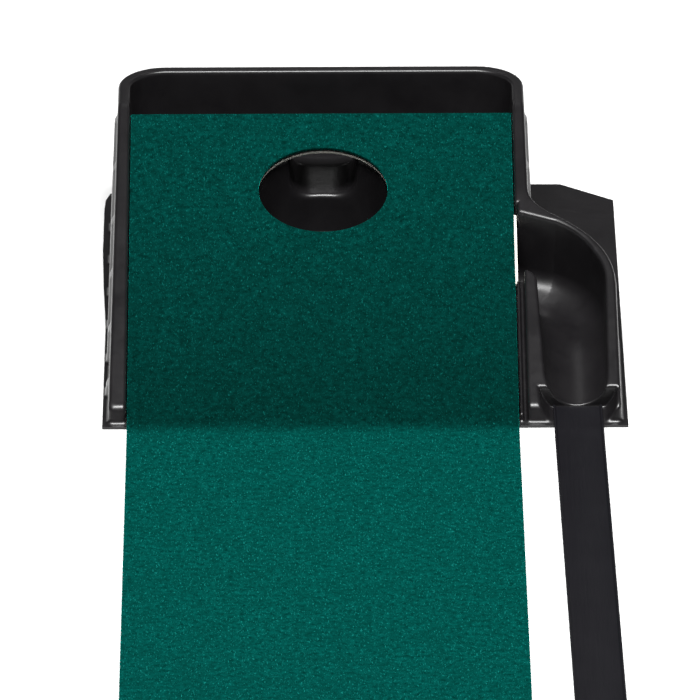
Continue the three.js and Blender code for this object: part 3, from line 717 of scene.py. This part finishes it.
# %% [markdown]
# ### From field to skin
# The field is sampled on a fine grid. Every cell that the skin passes through gets one
# vertex, and neighbouring cells are joined by a quad. Blender's own Remesh could do
# this from a solid, but not from a formula. Decimation then thins the flat places, and
# each vertex is pulled back on to the exact skin, so the grid leaves no steps.

# %% Sample the field
STEP = 1.3
LAYERS_AT_ONCE = 8
# The last number of each row is a nudge, so that no flat face lies right on the grid.
grid_x, grid_y, grid_z = (np.arange(low, high, STEP) + nudge for low, high, nudge in (
    (-180, 242, 0.011), (2, 471, 0.017), (-0.4, 120, 0.013),
))
plan_x, plan_y = np.meshgrid(grid_x, grid_y, indexing="ij")
flat_maps = [m[:, :, None] for m in plan_maps(plan_x, plan_y)]
values = np.empty((len(grid_x), len(grid_y), len(grid_z)), np.float32)
for first in range(0, len(grid_z), LAYERS_AT_ONCE):
    layer = slice(first, first + LAYERS_AT_ONCE)
    heights = grid_z[layer][None, None, :]
    values[:, :, layer] = mould_field(plan_x[:, :, None], plan_y[:, :, None], heights, flat_maps)
print("field sampled at", values.shape)


# %% One vertex per crossed cell
WAYS = np.eye(3, dtype=int)
CELL_CORNERS = 8


def crossed_cells(solid):
    """The cells with corners both in and out, and a grid that gives each its number."""
    nx, ny, nz = shape = np.array(solid.shape) - 1
    corners = [solid[i:i + nx, j:j + ny, k:k + nz] for i in (0, 1) for j in (0, 1) for k in (0, 1)]
    count = np.sum(corners, axis=0, dtype=np.int8)
    cells = np.argwhere((count > 0) & (count < CELL_CORNERS))
    number = np.full(shape, -1, np.int32)
    number[tuple(cells.T)] = np.arange(len(cells))
    return cells, number


def cell_middles(field, cells):
    """The mean of the places where a cell's twelve edges cross the skin."""
    total, hits = np.zeros((len(cells), 3)), np.zeros(len(cells))
    for axis in range(3):
        one, other = (WAYS[o] for o in range(3) if o != axis)
        for i, j in ((0, 0), (0, 1), (1, 0), (1, 1)):
            start = cells + i * one + j * other
            a, b = field[tuple(start.T)], field[tuple((start + WAYS[axis]).T)]
            cut = (a < 0) != (b < 0)
            part = np.where(cut, a / np.where(cut, a - b, 1), 0)
            total += np.where(cut[:, None], start + part[:, None] * WAYS[axis], 0)
            hits += cut
    return total / hits[:, None]


# %% One quad per crossed edge
def edge_quads(solid, number, axis):
    """Joins the four cells round each grid edge along `axis` that crosses the skin."""
    one, other = WAYS[(axis + 1) % 3], WAYS[(axis + 2) % 3]
    start, end = ([slice(1, -1)] * 3 for _ in range(2))
    start[axis], end[axis] = slice(0, -1), slice(1, None)
    inside, beyond = solid[tuple(start)], solid[tuple(end)]
    edges = np.argwhere(inside != beyond)
    lowered = edges + one + other
    quads = np.stack([number[tuple((lowered - m).T)] for m in (0 * one, one, one + other, other)], 1)
    quads = np.where(inside[tuple(edges.T)][:, None], quads, quads[:, ::-1])
    return quads[(quads >= 0).all(1)]


def surface_net(field, axes):
    solid = field < 0
    cells, number = crossed_cells(solid)
    low, size = np.array([a[0] for a in axes]), axes[0][1] - axes[0][0]
    quads = np.vstack([edge_quads(solid, number, axis) for axis in range(3)])
    return low + cell_middles(field, cells) * size, quads


skin_points, skin_quads = surface_net(values, (grid_x, grid_y, grid_z))
del values
print("skin:", len(skin_points), "points,", len(skin_quads), "quads")


# %% [markdown]
# The flange is cut out of the flat sheet after forming, so the skin is trimmed there:
# what lies outside the outline is dropped, and the last row is moved on to it.

# %% Trim the skin to the flange's outline
def nearest_on_outline(points, outline):
    best, place = np.full(len(points), 1e9), points.copy()
    for a, b in zip(outline, np.roll(outline, -1, axis=0)):
        along = np.clip(((points - a) @ (b - a)) / ((b - a) @ (b - a)), 0, 1)
        foot = a + along[:, None] * (b - a)
        gap = np.hypot(*(points - foot).T)
        closer = gap < best
        best[closer], place[closer] = gap[closer], foot[closer]
    return place


outside = polygon_distance(flange_outline, skin_points[:, 0], skin_points[:, 1]) > 0
skin_quads = skin_quads[~outside[skin_quads].all(1)]
skin_points[outside, :2] = nearest_on_outline(skin_points[outside, :2], flange_outline)
skin_points[outside, 2] = SHEET_THICKNESS
for spot in flange_outline:
    edge = np.flatnonzero(outside)
    skin_points[edge[np.argmin(np.hypot(*(skin_points[edge, :2] - spot).T))], :2] = spot

# %% Thin the flat places
SKIN_TRIANGLES = 96000


def mesh_from(name, points, faces):
    used, index = np.unique(np.asarray(faces), return_inverse=True)
    mesh = bpy.data.meshes.new(name)
    mesh.from_pydata(points[used].tolist(), [], index.reshape(np.shape(faces)).tolist())
    mesh.update()
    return mesh


skin = new_object("tray_skin", mesh_from("tray_skin", skin_points, skin_quads))
thin = skin.modifiers.new("thin", "DECIMATE")
thin.ratio = min(1.0, SKIN_TRIANGLES / (2 * len(skin_quads)))
depsgraph = bpy.context.evaluated_depsgraph_get()
thinned = bpy.data.meshes.new_from_object(skin.evaluated_get(depsgraph))
bpy.data.objects.remove(skin)
count = len(thinned.vertices)
points = np.empty(count * 3)
thinned.vertices.foreach_get("co", points)
points = points.reshape(-1, 3)
thinned.calc_loop_triangles()
triangles = np.empty(len(thinned.loop_triangles) * 3, int)
thinned.loop_triangles.foreach_get("vertices", triangles)
triangles = triangles.reshape(-1, 3)
print("thinned to", count, "points,", len(triangles), "triangles")


# %% Pull each vertex on to the exact skin, and take its direction there
PULLS = 3
LONGEST_PULL = 0.8
LEAST_SLOPE = 0.05


def field_at(p):
    return mould_field(p[:, 0], p[:, 1], p[:, 2], plan_maps(p[:, 0], p[:, 1]))


def slope_at(p, reach):
    slopes = [field_at(p + reach * axis) - field_at(p - reach * axis) for axis in np.eye(3)]
    return np.stack(slopes, 1) / (2 * reach)


def open_edges(faces):
    """The edges that only one face uses, each in that face's direction."""
    used = dict.fromkeys((a, b) for face in faces for a, b in zip(face, face[1:] + face[:1]))
    return [(a, b) for a, b in used if (b, a) not in used]


rim_edges = open_edges(triangles.tolist())
on_rim = np.zeros(count, bool)
on_rim[list({v for edge in rim_edges for v in edge})] = True
for _ in range(PULLS):
    slope = slope_at(points, 0.05)
    size = np.maximum((slope ** 2).sum(1), LEAST_SLOPE)
    move = (field_at(points) / size)[:, None] * slope
    move *= np.minimum(1, LONGEST_PULL / np.maximum(np.linalg.norm(move, axis=1), TINY))[:, None]
    points[~on_rim] -= move[~on_rim]
slope = slope_at(points, 0.2)
directions = slope / np.linalg.norm(slope, axis=1)[:, None]
directions[on_rim] = (0, 0, 1)
print("furthest from the skin, mm:", round(float(np.abs(field_at(points[~on_rim])).max()), 3))


# %% [markdown]
# The sheet is 1.6 mm thick, so a second skin lies that far under the first, and a
# narrow face closes the cut edge of the flange. The open underside shows its shape
# from below, as on any formed tray.

# %% Give the sheet its thickness
under_points = points - SHEET_THICKNESS * directions
under_points[:, 2] = np.maximum(under_points[:, 2], 0.0)
all_points = np.vstack([points, under_points])
side_faces = [(b, a, a + count) for a, b in rim_edges] + [(b, a + count, b + count) for a, b in rim_edges]
all_faces = np.vstack([triangles, triangles[:, ::-1] + count, np.array(side_faces)])
tray_mesh = bpy.data.meshes.new("tray_shell")
tray_mesh.from_pydata(to_metres(all_points).tolist(), [], all_faces.tolist())
tray_mesh.polygons.foreach_set("use_smooth", [True] * len(all_faces))
corner_directions = np.vstack([directions, -directions])[all_faces.reshape(-1)]
first_side = 2 * len(triangles)
side_points = all_points[all_faces[first_side:]]
side_normals = np.cross(side_points[:, 1] - side_points[:, 0], side_points[:, 2] - side_points[:, 0])
side_normals /= np.linalg.norm(side_normals, axis=1)[:, None]
corner_directions[3 * first_side:] = np.repeat(side_normals, 3, axis=0)
tray_mesh.normals_split_custom_set(corner_directions.tolist())
tray_mesh.materials.append(tray_plastic)
tray_shell = new_object("tray_shell", tray_mesh)
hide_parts("tray")
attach(tray_shell, "tray")
print("tray shell:", len(all_faces), "triangles")

# %% [markdown]
# ## The mat
# The felt and its backing each run in one piece from the near end of the mat to the
# top of the ramp. They are cut flat, with the hole in them, and then laid along a
# line that bends upwards at the fold. A cloth simulation would find the same rest
# shape, only slower, because the mat is stiff and lies on something all along.

# %% A flat cut, meshed finely where it bends
FOLD_REACH = 5.0
FOLD_ROWS = 18
RUNNER_ROW, RAMP_ROW = 40, 16.0
COLUMNS = 20
HOLE_SIDES = 96
HOLE_CLEAR = 5


def cut_rows(low, high):
    return np.concatenate([
        np.linspace(low, -FOLD_REACH - 12, int(-low / RUNNER_ROW)),
        np.linspace(-FOLD_REACH - 6, FOLD_REACH + 6, FOLD_ROWS),
        np.arange(FOLD_REACH + 20, high - 6, RAMP_ROW), [high],
    ])


def loop_edges(first, count):
    return [(first + i, first + (i + 1) % count) for i in range(count)]


def cut_sheet(width, low, high, hole_radius):
    """Vertices and triangles of the flat cut."""
    half = width / 2
    rows, columns = cut_rows(low, high), np.linspace(-half, half, COLUMNS)
    grid = [(x, y) for y in rows for x in columns
            if math.hypot(x - HOLE_X, y - HOLE_ALONG) > hole_radius + HOLE_CLEAR]
    ring = [(HOLE_X + hole_radius * math.cos(a), HOLE_ALONG + hole_radius * math.sin(a))
            for a in np.linspace(0, 2 * math.pi, HOLE_SIDES, endpoint=False)]
    border = [(-half, y) for y in rows[::-1]] + [(x, low) for x in columns[1:-1]]
    border += [(half, y) for y in rows] + [(x, high) for x in columns[-2:0:-1]]
    places = border + ring
    edges = loop_edges(0, len(border)) + loop_edges(len(border), HOLE_SIDES)
    taken = {(round(x, 4), round(y, 4)) for x, y in places}
    places += [p for p in grid if (round(p[0], 4), round(p[1], 4)) not in taken]
    verts, _, faces, *_ = delaunay_2d_cdt([Vector(p) for p in places], edges, [], 0, 1e-5)
    flat = np.array([tuple(v) for v in verts])
    tris = np.array(faces)
    middle = flat[tris].mean(1)
    tris = tris[np.hypot(middle[:, 0] - HOLE_X, middle[:, 1] - HOLE_ALONG) > hole_radius * 0.999]
    a, b, c = (flat[tris[:, k]] for k in range(3))
    turn = (b[:, 0] - a[:, 0]) * (c[:, 1] - a[:, 1]) - (b[:, 1] - a[:, 1]) * (c[:, 0] - a[:, 0])
    tris[turn < 0] = tris[turn < 0][:, ::-1]
    return flat, tris


# %% Laying the cut along the bent line
LINE_STEPS = 201


def lay(flat, depth):
    """Puts flat points on the line that bends at the fold, `depth` under its top."""
    t = flat[:, 1]
    part = np.clip((t + FOLD_REACH) / (2 * FOLD_REACH), 0, 1)
    angle = SLOPE * part
    steps = np.linspace(-FOLD_REACH, FOLD_REACH, LINE_STEPS)
    bend = SLOPE * (steps + FOLD_REACH) / (2 * FOLD_REACH)
    run = np.concatenate([[0], np.cumsum(np.cos(bend[:-1]) * np.diff(steps))])
    rise = np.concatenate([[0], np.cumsum(np.sin(bend[:-1]) * np.diff(steps))])
    inside = np.clip(t, -FOLD_REACH, FOLD_REACH)
    y = np.interp(inside, steps, run) + np.minimum(t + FOLD_REACH, 0) - FOLD_REACH
    z = np.interp(inside, steps, rise)
    past = np.maximum(t - FOLD_REACH, 0)
    y = y + past * math.cos(SLOPE)
    z = z + past * math.sin(SLOPE) + MAT_TOP
    return np.stack([flat[:, 0], y + depth * np.sin(angle), z - depth * np.cos(angle)], 1)


def laid_sheet(name, top, bottom, width, low, high, hole_radius, bevel):
    """A closed sheet from depth `top` to `bottom`, with softened edges."""
    flat, tris = cut_sheet(width, low, high, hole_radius)
    upper, lower = lay(flat, top), lay(flat, bottom)
    count = len(flat)
    faces = tris.tolist() + (tris[:, ::-1] + count).tolist()
    faces += [(b, a, a + count, b + count) for a, b in open_edges(tris.tolist())]
    mesh = bpy.data.meshes.new(name)
    mesh.from_pydata(to_metres(np.vstack([upper, lower])).tolist(), [], faces)
    mesh.validate()
    obj = new_object(name, mesh)
    soften = obj.modifiers.new("soften", "BEVEL")
    soften.width = bevel / 1000
    soften.segments = 3
    soften.limit_method = "ANGLE"
    soften.angle_limit = math.radians(50)
    final = bpy.data.meshes.new_from_object(obj.evaluated_get(bpy.context.evaluated_depsgraph_get()))
    obj.modifiers.remove(soften)
    obj.data = final
    final.polygons.foreach_set("use_smooth", [True] * len(final.polygons))
    final.set_sharp_from_angle(angle=math.radians(40))
    return obj


# %% [markdown]
# The pile and the backing are glued, so both are laid along the same bent line. Both
# are blended between the tray and the ramp over a short stretch at the fold.

# %% Felt pile and backing
BACKING_INSET = 0.3
GLUE_GAP = 0.1
near_end = RAMP_LENGTH - MAT_LENGTH

mat_pile = laid_sheet("mat_pile", 0.0, PILE, MAT_WIDTH, near_end, RAMP_LENGTH, HOLE_RADIUS, bevel=0.7)
mat_pile.data.materials.append(felt)
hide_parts("mat_pile_ramp", "mat_pile_runner")
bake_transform(mat_pile)

mat_backing = laid_sheet(
    "mat_backing", PILE + GLUE_GAP, MAT_TOP, MAT_WIDTH - 2 * BACKING_INSET,
    near_end + BACKING_INSET, RAMP_LENGTH - BACKING_INSET, HOLE_RADIUS + 0.4, bevel=0.3,
)
mat_backing.data.materials.append(backing_rubber)
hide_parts("mat_backing_ramp", "mat_backing_runner")
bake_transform(mat_backing)

for piece in (mat_pile, mat_backing):
    print(piece.name, "has", len(piece.data.polygons), "faces")

# %% [markdown]
# ## Board and tapes
# The board under the ramp's felt and the tapes keep their CAD shapes. They are thin,
# flat and hidden but for an edge, so only their finish is new.

# %% Finishes for the CAD pieces that stay
FINISHES = {"ramp_board": board_plastic, "hook_tape": hook_tape, "loop_tape": loop_tape}

for name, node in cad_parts.items():
    for start, finish in FINISHES.items():
        if name.startswith(start):
            node.data.materials.clear()
            node.data.materials.append(finish)
            print(name, "is finished as", finish.name)

# %% [markdown]
# ## Return track
# An extruded strip with a raised lip along each edge. It follows a path from the
# landing, over the tray's front edge and down to the floor. Geometry Nodes sweep its
# section along that path, so the section keeps its shape over the step, and a change
# to either is one edit. An extruded box would have to be bent by hand.

# %% The track's path
TRACK_START = 37.4
TRACK_LENGTH = 2057.0
TRACK_SPLAY = math.radians(0.52)
TRACK_RISE = 1.9
DROP_BEFORE_EDGE = 3
DROP_LENGTH = 24


def track_path():
    """Level on the landing, then an easy S down to the floor, then level again."""
    drop_from = TRACK_START - DROP_BEFORE_EDGE
    along = np.concatenate([
        np.linspace(0, drop_from, 12, endpoint=False),
        np.linspace(drop_from, drop_from + DROP_LENGTH, 13),
        np.linspace(drop_from + 60, TRACK_LENGTH, 40),
    ])
    dropped = np.clip((along - drop_from) / DROP_LENGTH, 0, 1)
    height = TRACK_RISE * (1 + np.cos(math.pi * dropped)) / 2
    x = TRACK_X + (along - TRACK_START) * math.sin(TRACK_SPLAY)
    return np.stack([x, TRACK_START - along * math.cos(TRACK_SPLAY), height], 1)


def poly_curve(name, points, cyclic):
    data = bpy.data.curves.new(name, "CURVE")
    data.dimensions = "3D"
    spline = data.splines.new("POLY")
    spline.points.add(len(points) - 1)
    spline.points.foreach_set("co", np.c_[points, np.ones(len(points))].reshape(-1))
    spline.use_cyclic_u = cyclic
    return new_object(name, data)


# %% The track's section, from its right foot up over the lip and down to the trough
TRACK_WIDTH = 38.4
half = TRACK_WIDTH / 2
right_edge = [
    (half - 0.3, 0.0), (half, 0.3), (half, 2.9), (half - 0.35, 3.2), (half - 1.2, 3.2),
    (half - 1.6, 2.8), (half - 2.1, 1.9), (half - 2.8, 1.5),
]
left_edge = [(-x, z) for x, z in right_edge[::-1]]
section_points = [(x, -z, 0) for x, z in right_edge + left_edge]
print("track section:", len(section_points), "points,", TRACK_WIDTH, "mm wide")


# %% A node tree that sweeps a section along a path
def sweep_tree(material):
    tree = bpy.data.node_groups.new("sweep_strip", "GeometryNodeTree")
    tree.interface.new_socket("Geometry", in_out="INPUT", socket_type="NodeSocketGeometry")
    section = tree.interface.new_socket("Section", in_out="INPUT", socket_type="NodeSocketObject")
    tree.interface.new_socket("Geometry", in_out="OUTPUT", socket_type="NodeSocketGeometry")
    nodes, link = tree.nodes, tree.links.new
    start, end = nodes.new("NodeGroupInput"), nodes.new("NodeGroupOutput")
    info = nodes.new("GeometryNodeObjectInfo")
    sweep = nodes.new("GeometryNodeCurveToMesh")
    sweep.inputs["Fill Caps"].default_value = True
    upright = nodes.new("GeometryNodeSetCurveNormal")
    upright.mode = "Z_UP"
    finish = nodes.new("GeometryNodeSetMaterial")
    finish.inputs["Material"].default_value = material
    real = nodes.new("GeometryNodeRealizeInstances")
    link(start.outputs["Section"], info.inputs["Object"])
    link(start.outputs["Geometry"], upright.inputs["Curve"])
    link(upright.outputs["Curve"], sweep.inputs["Curve"])
    link(info.outputs["Geometry"], sweep.inputs["Profile Curve"])
    link(sweep.outputs["Mesh"], real.inputs["Geometry"])
    link(real.outputs["Geometry"], finish.inputs["Geometry"])
    link(finish.outputs["Geometry"], end.inputs["Geometry"])
    return tree, section.identifier


def outward(mesh):
    """Turns every face outwards."""
    work = bmesh.new()
    work.from_mesh(mesh)
    bmesh.ops.remove_doubles(work, verts=work.verts, dist=1e-6)
    bmesh.ops.recalc_face_normals(work, faces=work.faces)
    work.to_mesh(mesh)
    work.free()


# %% Sweep the track
path_curve = poly_curve("track_path", to_metres(track_path()), cyclic=False)
section_curve = poly_curve("track_section", np.array(section_points) / 1000, cyclic=True)
tree, section_input = sweep_tree(track_plastic)
sweep = path_curve.modifiers.new("sweep", "NODES")
sweep.node_group = tree
sweep[section_input] = section_curve
track_mesh = bpy.data.meshes.new_from_object(path_curve.evaluated_get(bpy.context.evaluated_depsgraph_get()))
for helper in (path_curve, section_curve):
    bpy.data.objects.remove(helper)
outward(track_mesh)
track_strip = new_object("track_strip", track_mesh)
lowest = min(v.co.z for v in track_mesh.vertices)
print("track: lowest point", round(lowest * 1000, 3), "mm,", len(track_mesh.polygons), "faces")
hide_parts("return_track")
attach(track_strip, "track")

# %% [markdown]
# ## Floor and light
# A plain pale floor, and one broad soft light overhead. On black plastic the light is
# seen more as a reflection than as brightness. A light straight above shows only in
# edges that turn towards the camera on their way up, and those are the edges that
# shine on a real tray. A small dim panel behind puts a soft streak in the trench.

# %% Floor
FLOOR_REACH = 40.0
FLOOR_LEVEL = -0.0005


def make_floor():
    mesh = bpy.data.meshes.new("floor")
    ways = ((-1, -1), (1, -1), (1, 1), (-1, 1))
    corners = [(x * FLOOR_REACH, y * FLOOR_REACH, FLOOR_LEVEL) for x, y in ways]
    mesh.from_pydata(corners, [], [(0, 1, 2, 3)])
    material, _ = new_material("floor", (0.86, 0.86, 0.857), 0.95)
    mesh.materials.append(material)
    return new_object("floor", mesh)


make_floor()


# %% Lights
def soft_light(name, place, aim, size, watts):
    data = bpy.data.lights.new(name, "AREA")
    data.shape = "RECTANGLE"
    data.size, data.size_y = size
    data.energy = watts
    light = new_object(name, data)
    light.location = place
    light.rotation_euler = (Vector(aim) - Vector(place)).to_track_quat("-Z", "Y").to_euler()
    light.visible_camera = False


soft_light("overhead", place=(0.0, 0.32, 2.45), aim=(0.0, 0.7, 0.0), size=(1.5, 0.7), watts=142)
soft_light("back_panel", place=(0.0, 2.7, 1.32), aim=(0.0, 1.13, 0.06), size=(0.45, 0.22), watts=0.5)
print("lights:", [light.name for light in bpy.data.lights])

# %% [markdown]
# ## Surroundings
# The room is dim, with a bright band low down all round, like pale walls that stand on
# a lit floor. Its reflection runs as a thin line along edges that face outwards. An
# evenly grey world would lift every dark hollow and leave those edges flat.

# %% A dim room with a bright band low down all round
BAND_FROM, BAND_TO = 0.03, 0.17
BAND_BRIGHT, ROOM_DIM = 0.9, 0.04


def make_room():
    room = bpy.data.worlds.new("world")
    room.use_nodes = True
    nodes, links = room.node_tree.nodes, room.node_tree.links
    facing = nodes.new("ShaderNodeTexCoord")
    split = nodes.new("ShaderNodeSeparateXYZ")
    band = nodes.new("ShaderNodeMapRange")
    band.interpolation_type = "SMOOTHSTEP"
    band.inputs["From Min"].default_value = BAND_FROM
    band.inputs["From Max"].default_value = BAND_TO
    band.inputs["To Min"].default_value = BAND_BRIGHT
    band.inputs["To Max"].default_value = ROOM_DIM
    links.new(facing.outputs["Generated"], split.inputs["Vector"])
    links.new(split.outputs["Z"], band.inputs["Value"])
    links.new(band.outputs["Result"], nodes["Background"].inputs["Strength"])
    nodes["Background"].inputs["Color"].default_value = (1, 1, 1, 1)
    return room


bpy.context.scene.world = make_room()
bpy.context.scene.view_settings.view_transform = "Standard"
print("world:", bpy.context.scene.world.name)
